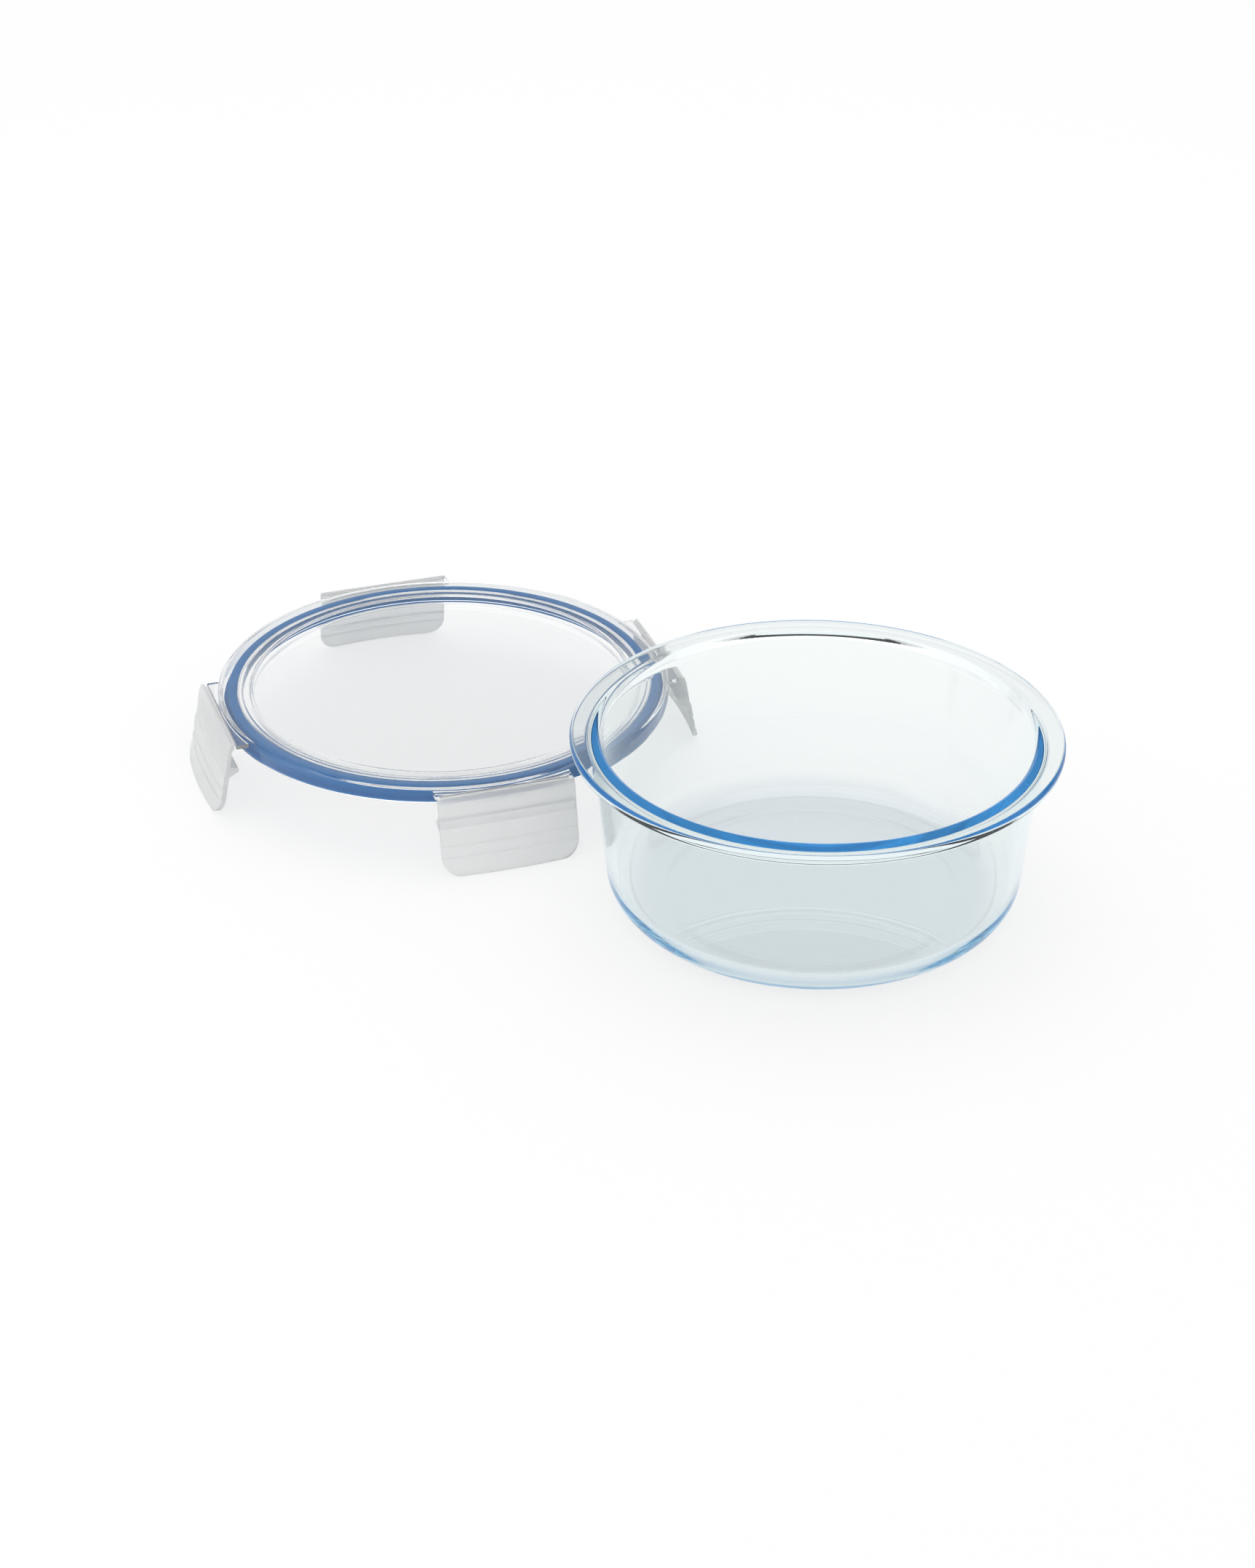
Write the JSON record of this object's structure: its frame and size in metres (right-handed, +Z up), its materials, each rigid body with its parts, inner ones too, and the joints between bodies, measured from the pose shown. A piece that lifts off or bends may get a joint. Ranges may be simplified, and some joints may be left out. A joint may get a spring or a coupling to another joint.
{
  "type": "glass storage container",
  "caption": "Round glass food storage bowl with a flat rim flange, and its sunk-panel plastic lid with silicone seal and side latches, set down beside it.",
  "frame": {"origin": "centre of the bowl's base, on the surface that the bowl stands on", "axes": "+Z up along the bowl's axis; the lid stands towards -X and +Y"},
  "size_m": [0.3317, 0.2846, 0.0675],
  "materials": {
    "bowl_glass": "clear pressed borosilicate glass, polished",
    "lid_plastic": "translucent natural polypropylene, satin moulded",
    "seal_silicone": "blue silicone, smooth"
  },
  "bodies": {
    "bowl": {"glass_bowl": "bowl_glass"},
    "lid": {"lid_cover": "lid_plastic", "seal_ring": "seal_silicone"},
    "latch_right": {"latch_right": "lid_plastic"},
    "latch_back": {"latch_back": "lid_plastic"},
    "latch_left": {"latch_left": "lid_plastic"},
    "latch_front": {"latch_front": "lid_plastic"}
  },
  "joints": [
    {"name": "lid_lift", "type": "slide", "parent": "bowl", "child": "lid", "axis": [0, 0, 1], "range_m": [0, 0.12]},
    {"name": "right_latch_hinge", "type": "hinge", "parent": "lid", "child": "latch_right", "pos_m": [-0.06445, 0.13265, 0.02902], "axis": [0.3746, -0.9272, 0], "range_deg": [-9, 135]},
    {"name": "back_latch_hinge", "type": "hinge", "parent": "lid", "child": "latch_back", "pos_m": [-0.17966, 0.18155, 0.02902], "axis": [0.9272, 0.3746, 0], "range_deg": [-9, 135]},
    {"name": "left_latch_hinge", "type": "hinge", "parent": "lid", "child": "latch_left", "pos_m": [-0.22857, 0.06634, 0.02902], "axis": [-0.3746, 0.9272, 0], "range_deg": [-9, 135]},
    {"name": "front_latch_hinge", "type": "hinge", "parent": "lid", "child": "latch_front", "pos_m": [-0.11336, 0.01744, 0.02902], "axis": [-0.9272, -0.3746, 0], "range_deg": [-9, 135]}
  ]
}
